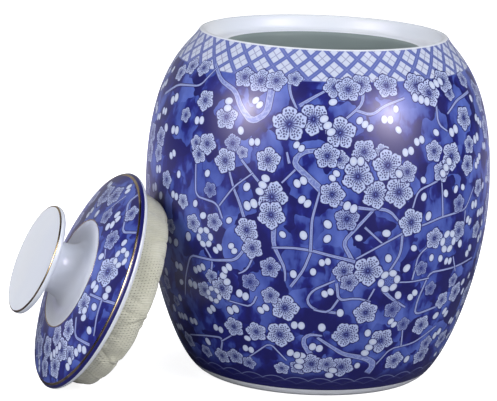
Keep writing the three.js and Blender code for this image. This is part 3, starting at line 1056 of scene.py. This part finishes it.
TRELLIS_COUNT = 36
TRELLIS_DEPTH = 24
TRELLIS_CELL = 16.5
TRELLIS_STEP = 12.0
FOOT_FADE_TOP = 26
FOOT_FADE_END = 13
FOOT_WHITE_TOP = 5.2
SCALLOP_COUNT = 36
SCALLOP_DEPTH = 2.6
# A line of scallops is (height of its points, share of a scallop that it is turned by, strength).
SCALLOPS = [(15.5, 0.0, 0.5), (12.6, 0.5, 0.14)]


def trellis(nodes, turn, drop):
    """A diamond trellis of blue bars, with four small white diamonds in each opening."""
    around = turn * TRELLIS_COUNT
    down = drop / TRELLIS_CELL + 0.12
    gaps, halves = [], []
    for lean in (around + down, around - down + 10):
        from_middle = (lean.fraction() - 0.5).absolute()
        gaps.append((0.5 - from_middle) * TRELLIS_STEP)
        halves.append(from_middle * TRELLIS_STEP)
    bar = gaps[0].least(gaps[1])
    thin = halves[0].least(halves[1])
    paint = nodes.blend(thin.ramp(0.5, 0.25), TRELLIS_WHITE, TRELLIS_GREY)
    paint = nodes.blend(bar.ramp(1.75, 1.3), paint, TRELLIS_BLUE)
    return nodes.blend(bar.ramp(0.3, 0.1) * 0.2, paint, TRELLIS_WHITE)


def glaze_shader(nodes, base):
    """Hard clear glaze over soft paint: a sharp coat over a wider sheen."""
    nodes.surface({
        "Base Color": base,
        "Roughness": 0.36,
        "Specular IOR Level": 0.95,
        "Specular Tint": (0.8, 0.68, 1.0, 1.0),
        "Coat Weight": 0.6,
        "Coat Roughness": 0.16,
        "Coat IOR": 1.45,
    })


def material(name, build):
    """A node material, built by a function of its empty tree."""
    made = bpy.data.materials.new(name)
    made.use_nodes = True
    made.node_tree.nodes.clear()
    build(Nodes(made.node_tree))
    return made


def jar_paint(nodes):
    turn, travel, height = nodes.split(nodes.attribute("place"))
    drop = (travel - JAR_PAINT_TRAVEL) * -1
    paint = nodes.blend(height.ramp(FOOT_FADE_TOP, FOOT_FADE_END), ice_ground(nodes), NAVY)
    last_line = drop.ramp(TRELLIS_DEPTH - 0.7, TRELLIS_DEPTH - 0.3)
    lattice = nodes.blend(last_line, trellis(nodes, turn, drop), TRELLIS_BLUE)
    paint = nodes.blend(drop.ramp(TRELLIS_DEPTH + 0.3, TRELLIS_DEPTH), paint, lattice)
    for level, shift, strength in SCALLOPS:
        swing = ((turn * SCALLOP_COUNT + shift).fraction() - 0.5).absolute() * 2
        line = (height - level + swing * swing * SCALLOP_DEPTH).absolute().ramp(0.45, 0.15)
        paint = nodes.blend(line * strength, paint, BRANCH_PALE)
    paint = with_motifs(nodes, paint)
    paint = nodes.blend(height.ramp(FOOT_WHITE_TOP + 0.4, FOOT_WHITE_TOP), paint, FOOT_WHITE)
    paint = nodes.blend(drop.ramp(0.6, 0.2), paint, GLAZE_WHITE)
    glaze_shader(nodes, paint)


def lid_paint(nodes):
    _, _, height = nodes.split(nodes.attribute("place"))
    paint = with_motifs(nodes, ice_ground(nodes))
    glaze_shader(nodes, nodes.blend(height.ramp(0.35, 0.15), paint, NAVY))


def white_glaze(nodes):
    glaze_shader(nodes, nodes.clouds(nodes.spot(), 22.0, 2.0, GLAZE_WHITE, colour(220, 226, 236)))


def inner_glaze(nodes):
    """Thin grey-green glaze, duller than the outside. Its dark colour is painted shade for the
    inside of the jar.
    """
    base = nodes.clouds(nodes.spot(), 14.0, 3.0, colour(131, 143, 144), colour(124, 137, 138))
    nodes.surface({"Base Color": base, "Roughness": 0.45, "Specular IOR Level": 0.3})


def biscuit(nodes):
    """Bare fired clay, fine-grained and stained here and there."""
    point = nodes.spot()
    grain = nodes.noise(point, 900.0, 3.0)
    stain = nodes.noise(point, 60.0, 3.0)
    base = nodes.blend(grain.ramp(0.35, 0.7), colour(226, 218, 202), colour(206, 194, 172))
    base = nodes.blend(stain.ramp(0.55, 0.8) * 0.5, base, colour(186, 166, 138))
    bump = nodes.bump(grain, 0.4, 0.0002)
    nodes.surface({"Base Color": base, "Roughness": 0.8, "Normal": bump})


def gilding(nodes):
    """Polished gold with dark patches, which are painted reflections of its dark surroundings."""
    point = nodes.spot()
    base = nodes.clouds(point, 160.0, 3.0, colour(238, 218, 186), colour(216, 190, 152))
    # Painted reflection: dark patches in the gold's colour stand for the dark things it reflects.
    dark_reflection_patches = nodes.noise(point, 34.0, 2.0)
    base = nodes.blend(dark_reflection_patches.ramp(0.5, 0.62) * 0.75, base, colour(92, 78, 70))
    nodes.surface({"Base Color": base, "Metallic": 1.0, "Roughness": 0.16})


HOLE_PITCH = 2.1
RIB_PITCH = 1.7
RIB_SLANT = 1.3
STRETCHED_SIDE = 0.53


def knit_cloth(nodes):
    """Cream knitted cloth: fine slanting ribs, and rows of small holes where it is stretched. The
    grooves between the ribs and the holes are darkened in colour as painted shade.
    """
    turn, travel, _ = nodes.split(nodes.attribute("place"))
    around = 2 * math.pi * SEAL_RADIUS
    columns = turn * round(around / HOLE_PITCH)
    rows = travel / HOLE_PITCH
    across = ((columns + rows * 0.5).fraction() - 0.5).absolute()
    along = (rows.fraction() - 0.5).absolute()
    hole = nodes.length(across, along)
    point = nodes.spot()
    patches = nodes.noise(point, 26.0)
    side = ((turn - STRETCHED_SIDE) * (2 * math.pi)).cosine()
    stretch = (side.ramp(0.6, 0.95) * patches.ramp(0.3, 0.5)).most(patches.ramp(0.52, 0.68))
    depth = hole.ramp(0.25, 0.1) * stretch
    slant = turn * (round(around / RIB_PITCH) * 2 * math.pi) + travel * RIB_SLANT
    ribs = slant.cosine()
    base = nodes.clouds(point, 45.0, 4.0, colour(214, 213, 197), colour(201, 200, 183))
    # Painted shade: darker colour in the grooves between the ribs and in the holes.
    base = nodes.blend(ribs.ramp(-0.1, -1.0) * 0.22, base, colour(170, 166, 140))
    base = nodes.blend(depth * 0.6, base, colour(104, 102, 86))
    nodes.surface({
        "Base Color": base,
        "Roughness": 0.95,
        "Specular IOR Level": 0.2,
        "Sheen Weight": 0.25,
        "Sheen Roughness": 0.5,
        "Normal": nodes.bump(ribs * 0.3 - depth, 0.7, 0.0004),
    })


def foam(nodes):
    """Cream foam with open pores, darker in their hollows as painted shade."""
    pores = nodes.add("ShaderNodeTexVoronoi", {"Vector": nodes.spot(), "Scale": 900.0})
    # Painted shade: the pores are darkened in colour.
    base = nodes.blend(pores.ramp(0.2, 0.7), colour(206, 196, 160), colour(236, 228, 202))
    bump = nodes.bump(pores, 0.5, 0.0004)
    nodes.surface({"Base Color": base, "Roughness": 1.0, "Normal": bump})


# ---- the pieces

WALL = jar_wall()
INNER_WALL = jar_inner_wall(WALL)
UNDERSIDE = [(0, BASE_RECESS), (FOOT_RADIUS - FOOT_LAND - 2, BASE_RECESS)]
FOOT_RING = [UNDERSIDE[-1], (FOOT_RADIUS - FOOT_LAND, 0), (FOOT_RADIUS, 0)]
LIP = jar_lip_and_seat(INNER_WALL[0])
LIP_SPLIT = next(i for i, point in enumerate(LIP) if point[1] > PAINT_TOP)
MOUTH_SPLIT = next(i for i, point in enumerate(LIP) if point[0] < MOUTH_RADIUS + 2.2)
JAR_PAINTED = WALL + LIP[1:LIP_SPLIT + 1]
JAR_PAINT_TRAVEL = float(lengths_along(UNDERSIDE + FOOT_RING[1:] + JAR_PAINTED[1:])[-1])

JAR_PAINT = material("blue_white_glaze", jar_paint)
LID_PAINT = material("lid_glaze", lid_paint)
WHITE = material("white_glaze", white_glaze)
INNER_SHADED_GLAZE = material("inner_glaze", inner_glaze)
BISCUIT = material("biscuit", biscuit)
GOLD = material("gilding", gilding)
CLOTH = material("knit_cloth", knit_cloth)
FOAM = material("foam", foam)


def settle(piece, node, body):
    """Hides the CAD node that a piece stands for and hangs the piece on the body that it rides on.
    """
    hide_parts(node)
    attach(piece, body)


def make_jar():
    floor = softened([INNER_WALL[-1], (FOOT_RADIUS - 4, FLOOR_THICKNESS + 1.6),
                      (FOOT_RADIUS - 14, FLOOR_THICKNESS), (0, FLOOR_THICKNESS)])
    stretches = [
        (UNDERSIDE, 1), (FOOT_RING, 3), (JAR_PAINTED, 0), (LIP[LIP_SPLIT:MOUTH_SPLIT + 1], 1),
        # From the mouth's edge inwards the jar takes the inner glaze, whose dark colour is painted
        # shade.
        (LIP[MOUTH_SPLIT:], 2), (INNER_WALL, 2), (floor, 2),
    ]
    jar = Turned("jar", stretches, [JAR_PAINT, WHITE, INNER_SHADED_GLAZE, BISCUIT])
    paint_jar(Canvas(jar, look=0, level_axis=1))
    jar.close_poles()
    settle(jar.object, "jar_body", "jar")


def make_lid(matrix):
    dish = lid_dish()
    stretches = [
        ([(0, LID_HOLLOW_TOP)] + lid_underside(), 1), (lid_rim(), 1), (lid_painted(), 0),
        (dish, 1), ([dish[-1], (0, DISH_FLOOR)], 1),
    ]
    lid = Turned("lid", stretches, [LID_PAINT, WHITE], matrix)
    paint_lid(Canvas(lid, look=0, level_axis=0))
    lid.close_poles()
    settle(lid.object, "lid_dome", "lid")
    side = knob_side() + [(0, KNOB_TOP - KNOB_FACE_DIP)]
    knob = Turned("knob", [(side, 0)], [WHITE], matrix)
    knob.close_poles()
    settle(knob.object, "lid_knob", "lid")


def make_gilding(matrix):
    painted = lid_painted()
    knob_edge = (KNOB_RADIUS - 0.6, KNOB_TOP - 0.2)
    bands = [
        ("rim", painted, (RIM_LINE_RADIUS, 0), RIM_GILT_WIDTH),
        ("dish", painted + lid_dish()[1:], (DISH_RADIUS, DISH_HEIGHT), DISH_GILT_WIDTH),
        ("knob", knob_side(), knob_edge, KNOB_GILT_WIDTH),
    ]
    for place, surface, near, width in bands:
        outline = gilt_outline(surface, near, width)
        band = Turned(f"{place}_gilding", [(outline, 0)], [GOLD], matrix, closed=True)
        settle(band.object, f"gilt_{place}_band", "lid")


SLEEVE_AROUND = 300
SLEEVE_PITCH = 1.3
SLEEVE_BULGE = 0.9
SLEEVE_PINCH = 0.8
# The cloth is held in its tuck, and grows free over a short way from there and from the rim.
TUCK_HELD = 14
RIM_FREE = 0.6
FREE_REACH = 4
FOAM_SLACK = 0.8
BELLY_CLEARANCE = 0.15
CLOTH_FRAMES = 20
CLOTH_QUALITY = 6
CLOTH_MASS = 0.15
CLOTH_PRESSURE = 4.0
CLOTH_SPARE = 0.05
CLOTH_CAP = 1.6
RIM_PLEATS = 46
# Each crease has a low ridge beside it.
RIDGE_SHARE = 0.5
RIDGE_AWAY = 1.9
# A crease across the sleeve is (angle at its middle, slant in degrees to the millimetre, depth,
# half width in millimetres).
SLEEVE_CREASES = [
    (44, -0.35, 1.1, 0.9), (35, -0.2, 0.6, 0.8), (24, 0.3, 0.35, 1.2), (-8, -0.5, 0.35, 1.4),
    (-33, 0.6, 0.5, 1.2), (-52, 0.4, 0.4, 1.5), (66, 0.3, 0.5, 1.0), (97, -0.4, 0.7, 1.2),
    (128, 0.3, 0.5, 1.0), (163, 0.5, 0.9, 1.1), (-95, -0.3, 0.6, 1.2), (-131, 0.4, 0.8, 1.0),
    (-160, -0.4, 0.5, 1.3),
]


def sleeve_outlines():
    """The sleeve's outer face from its tucked end round to the rim, and its inner face back."""
    outer_corner = (SEAL_RADIUS - SEAL_CORNER, SEAL_END + SEAL_CORNER)
    inner_corner = (SEAL_INNER_RADIUS + SEAL_INNER_CORNER, SEAL_END + SEAL_INNER_CORNER)
    outside = [(SEAL_INNER_RADIUS, SEAL_TUCK_END)]
    outside += arc(inner_corner, SEAL_INNER_CORNER, 180, 270)
    outside += arc(outer_corner, SEAL_CORNER, -90, 0)
    outside += [(SEAL_RADIUS, SEAL_TOP)]
    inside = [(SEAL_RADIUS - CLOTH_THICKNESS, SEAL_TOP)]
    inside += arc(outer_corner, SEAL_CORNER - CLOTH_THICKNESS, 0, -90)
    inside += arc(inner_corner, SEAL_INNER_CORNER - CLOTH_THICKNESS, 270, 180)
    inside += [(SEAL_INNER_RADIUS + CLOTH_THICKNESS, SEAL_TUCK_END)]
    return evenly(outside, SLEEVE_PITCH), evenly(inside, 2 * SLEEVE_PITCH)


def shape_sleeve(angle, height, free):
    """How far out each point of the sleeve moves: a bulge round the middle, creases across it and
    pleats at the rim. free is 1 on the free outer face and 0 where the cloth stays put."""
    source = random.Random(SEED + 2)
    share = np.clip((SEAL_TOP - height) / (SEAL_TOP - SEAL_END - SEAL_CORNER), 0, 1)
    push = SLEEVE_BULGE * np.sin(math.pi * share) - SLEEVE_PINCH * (1 - share) ** 4

    def across(middle, width):
        """How many half widths each point lies from a fold."""
        return np.radians(turn_to(angle, middle)) * SEAL_RADIUS / width

    for middle, slant, depth, width in SLEEVE_CREASES:
        away = across(middle + slant * (height - (SEAL_TOP + SEAL_END) / 2), width)
        ridge = RIDGE_SHARE * np.exp(-(away - RIDGE_AWAY) ** 2)
        push = push - depth * np.exp(-away ** 2) + depth * ridge
    for number in range(RIM_PLEATS):
        middle = number * 360 / RIM_PLEATS + source.uniform(-3, 3)
        away = across(middle, source.uniform(0.7, 1.6))
        fade = np.exp((height - SEAL_TOP) / source.uniform(3, 9))
        push = push - source.uniform(0.2, 0.7) * np.exp(-away ** 2) * fade
    return push * free


def relax_cloth(piece, held):
    """Blender's cloth under pressure with a little spare fabric, then the result kept as mesh."""
    group = piece.vertex_groups.new(name="held")
    for number, weight in enumerate(held):
        group.add([number], float(weight), "REPLACE")
    cloth = piece.modifiers.new("cloth", "CLOTH")
    cloth.settings.quality = CLOTH_QUALITY
    cloth.settings.mass = CLOTH_MASS
    cloth.settings.vertex_group_mass = group.name
    cloth.settings.use_pressure = True
    cloth.settings.uniform_pressure_force = CLOTH_PRESSURE
    cloth.settings.shrink_min = -CLOTH_SPARE
    cloth.settings.effector_weights.gravity = 0
    cloth.collision_settings.use_collision = False
    cloth.point_cache.frame_end = CLOTH_FRAMES
    scene = bpy.context.scene
    for number in range(1, CLOTH_FRAMES + 1):
        scene.frame_set(number)
    relaxed = piece.evaluated_get(bpy.context.evaluated_depsgraph_get())
    moved = np.empty(len(piece.data.vertices) * 3)
    relaxed.data.vertices.foreach_get("co", moved)
    piece.modifiers.remove(cloth)
    piece.vertex_groups.remove(group)
    scene.frame_set(1)
    return moved.reshape(-1, 3) / MM


def clear_of_belly(spots):
    """The same points, pressed flat where they would reach into the jar."""
    wall = np.array(JAR_PAINTED)
    away = np.hypot(spots[:, 0], spots[:, 1])
    least = np.interp(spots[:, 2], wall[:, 1], wall[:, 0]) + BELLY_CLEARANCE
    scale = np.maximum(1, least / away)
    return spots * np.stack([scale, scale, np.ones_like(scale)], axis=-1)


def make_foam(matrix):
    inner = FLANGE_OUTER_RADIUS + GAP
    outer = SEAL_RADIUS - CLOTH_THICKNESS - GAP - FOAM_SLACK
    bottom = SEAL_END + CLOTH_THICKNESS + GAP
    bend = SEAL_CORNER - CLOTH_THICKNESS - GAP
    corner = arc((outer - bend, bottom + bend), bend, -90, 0)
    ring = evenly([(inner, bottom)] + corner + [(outer, SEAL_TOP), (inner, SEAL_TOP)], 2.0)
    pad = Turned("seal_foam", [(ring, 0)], [FOAM], matrix, around=192, closed=True)
    settle(pad.object, "seal_foam_ring", "lid")


def make_sleeve(matrix):
    """The knitted sleeve over the foam ring, which tucks up inside the flange."""
    outside, inside = sleeve_outlines()
    outline = outside + inside
    sleeve = Turned("seal_sleeve", [(outline, 0)], [CLOTH], matrix, SLEEVE_AROUND, closed=True)
    travel = np.concatenate([lengths_along(outside), np.zeros(len(inside))])
    from_ends = np.minimum(travel - TUCK_HELD, travel[len(outside) - 1] - travel + RIM_FREE)
    free = np.clip(from_ends / FREE_REACH, 0, 1)
    free[len(outside):] = 0
    free = np.repeat(free, SLEEVE_AROUND)

    angles = np.tile(np.linspace(-180, 180, SLEEVE_AROUND, endpoint=False), len(outline))
    radius, height = np.repeat(np.array(outline), SLEEVE_AROUND, axis=0).T
    turn = np.radians(angles)
    outward = np.stack([np.sin(turn), -np.cos(turn), np.zeros_like(turn)], axis=-1)
    outward = outward @ np.array(matrix.to_3x3()).T
    points = sleeve.mesh.vertices
    spots = np.empty(len(points) * 3)
    points.foreach_get("co", spots)
    spots = spots.reshape(-1, 3) / MM
    on_side = np.where(radius > SEAL_RADIUS - SEAL_CORNER, 1, 0) * free
    spots = spots + outward * shape_sleeve(angles, height, on_side)[:, None]
    points.foreach_set("co", (spots * MM).ravel())
    moved = relax_cloth(sleeve.object, 1 - free) - spots
    size = np.linalg.norm(moved, axis=1)[:, None]
    spots = spots + moved * np.minimum(1, CLOTH_CAP / np.maximum(size, 1e-6))
    points.foreach_set("co", (clear_of_belly(spots) * MM).ravel())
    sleeve.mesh.update()
    settle(sleeve.object, "seal_cloth", "lid")


# ---- the stage

CAMERA_PLACE = (-604.3, -1678.5, 490.0)
CAMERA_HEADING = math.radians(18.27)
CAMERA_DIP = math.radians(11.815)
CAMERA_ROLL = math.radians(2.18)
CAMERA_LENS = 188.33
KEY_DISTANCE = 1.5
FILL_DISTANCE = 1.9
WALL_DISTANCE = 3.2
# A key light is (name, azimuth, elevation, strength), and its discs are (width, watts).
KEYS = [("left", -73, 27, 0.95), ("right", 31, 27.5, 1.1)]
KEY_DISCS = [(1.6, 3.0), (1.1, 3.6), (0.7, 2.7), (0.38, 2.0), (0.18, 1.2)]
DISC_GAP = 0.02


def add_camera():
    """The camera, at a small roll as the object was seen."""
    camera = add_object("camera", bpy.data.cameras.new("camera"))
    camera.data.lens = CAMERA_LENS
    camera.matrix_world = (
        Matrix.Translation(Vector(CAMERA_PLACE) * MM)
        @ Matrix.Rotation(-CAMERA_HEADING, 4, "Z")
        @ Matrix.Rotation(math.pi / 2 - CAMERA_DIP, 4, "X")
        @ Matrix.Rotation(CAMERA_ROLL, 4, "Z")
    )
    bpy.context.scene.camera = camera


def softbox(name, azimuth, elevation, size, watts, distance=FILL_DISTANCE, reflected=True):
    """A round area light that faces the middle of the jar. Azimuth is from -Y towards +X."""
    turn, rise = math.radians(azimuth), math.radians(elevation)
    level = math.cos(rise)
    away = Vector((math.sin(turn) * level, -math.cos(turn) * level, math.sin(rise)))
    light = bpy.data.lights.new(name, "AREA")
    light.shape = "DISK"
    light.size = size
    light.energy = watts
    lamp = add_object(name, light)
    lamp.location = Vector((0, 0, 0.6 * JAR_HEIGHT * MM)) + away * distance
    lamp.rotation_euler = away.to_track_quat("Z", "Y").to_euler()
    lamp.visible_camera = False
    lamp.visible_glossy = reflected


def add_lights():
    """A softbox on each side of the camera, brightest in its middle, two pale walls behind the
    object, and three fills that the glaze doesn't reflect."""
    for name, azimuth, elevation, strength in KEYS:
        for number, (size, watts) in enumerate(KEY_DISCS):
            distance = KEY_DISTANCE - DISC_GAP * number
            softbox(f"{name}_{number}", azimuth, elevation, size, watts * strength, distance)
    softbox("overhead", 160, 74, 1.2, 4.0, reflected=False)
    softbox("far_left", -172, 13, 4.4, 11.0, WALL_DISTANCE)
    softbox("far_right", 138, 12, 2.4, 3.0, WALL_DISTANCE)
    softbox("low_left", -55, 4, 0.5, 7.0, reflected=False)
    softbox("right_fill", 80, 16, 1.0, 8.0, reflected=False)


def by_ray(nodes, seen, glossy, otherwise):
    """One colour for what the camera sees, one for reflections and one for all other light."""
    paths = nodes.node("ShaderNodeLightPath")
    tone = nodes.blend(Wire(nodes, paths.outputs["Is Glossy Ray"]), otherwise, glossy)
    return nodes.blend(Wire(nodes, paths.outputs["Is Camera Ray"]), tone, seen)


def add_world():
    """White to the camera, a dim even light on surfaces and almost dark in reflections."""
    world = bpy.data.worlds.new("studio")
    world.use_nodes = True
    world.node_tree.nodes.clear()
    nodes = Nodes(world.node_tree)
    tone = by_ray(nodes, (1, 1, 1, 1), (0.04, 0.04, 0.05, 1), (0.32, 0.32, 0.33, 1))
    sky = nodes.add("ShaderNodeBackground", [tone, 1.0])
    nodes.node("ShaderNodeOutputWorld", [sky])
    bpy.context.scene.world = world


def floor_finish(nodes):
    """Pale floor that keeps its soft shadows. In reflections it has a tone of its own, dim near by
    and pale lilac behind the object, which paints a lilac sheen on the glaze's edges (painted
    reflection)."""
    _, back, _ = nodes.split(nodes.add("ShaderNodeNewGeometry", output="Position"))
    # Painted reflection: a tone that only reflections see, pale lilac behind the object, for a sheen
    # on the glaze.
    reflected = nodes.blend(back.ramp(0.1, 0.6), (0.11, 0.11, 0.13, 1), (0.52, 0.5, 0.74, 1))
    pale = by_ray(nodes, (0.8, 0.8, 0.81, 1), reflected, (0.45, 0.45, 0.47, 1))
    lift = by_ray(nodes, (1, 1, 1, 1), (0, 0, 0, 1), (0, 0, 0, 1))
    shaders = [
        nodes.add("ShaderNodeBsdfDiffuse", [pale]),
        nodes.add("ShaderNodeEmission", [lift, FLOOR_LIFT]),
    ]
    nodes.node("ShaderNodeOutputMaterial", [nodes.add("ShaderNodeAddShader", shaders)])


FLOOR_DROP = -0.0002
FLOOR_RADIUS = 6
FLOOR_LIFT = 0.85


def add_floor():
    """A round floor, much wider than the view, and just clear of the pieces that stand on it."""
    around = np.linspace(0, 2 * math.pi, 96, endpoint=False)
    ring = [(FLOOR_RADIUS * math.cos(a), FLOOR_RADIUS * math.sin(a), FLOOR_DROP) for a in around]
    mesh = bpy.data.meshes.new("floor")
    mesh.from_pydata(ring, [], [list(range(len(ring)))])
    mesh.materials.append(material("floor", floor_finish))
    add_object("floor", mesh)


add_camera()
make_jar()
LID_FRAME = lid_matrix()
make_lid(LID_FRAME)
make_gilding(LID_FRAME)
make_foam(LID_FRAME)
make_sleeve(LID_FRAME)
add_floor()
add_world()
add_lights()
bpy.context.scene.view_settings.view_transform = "Standard"
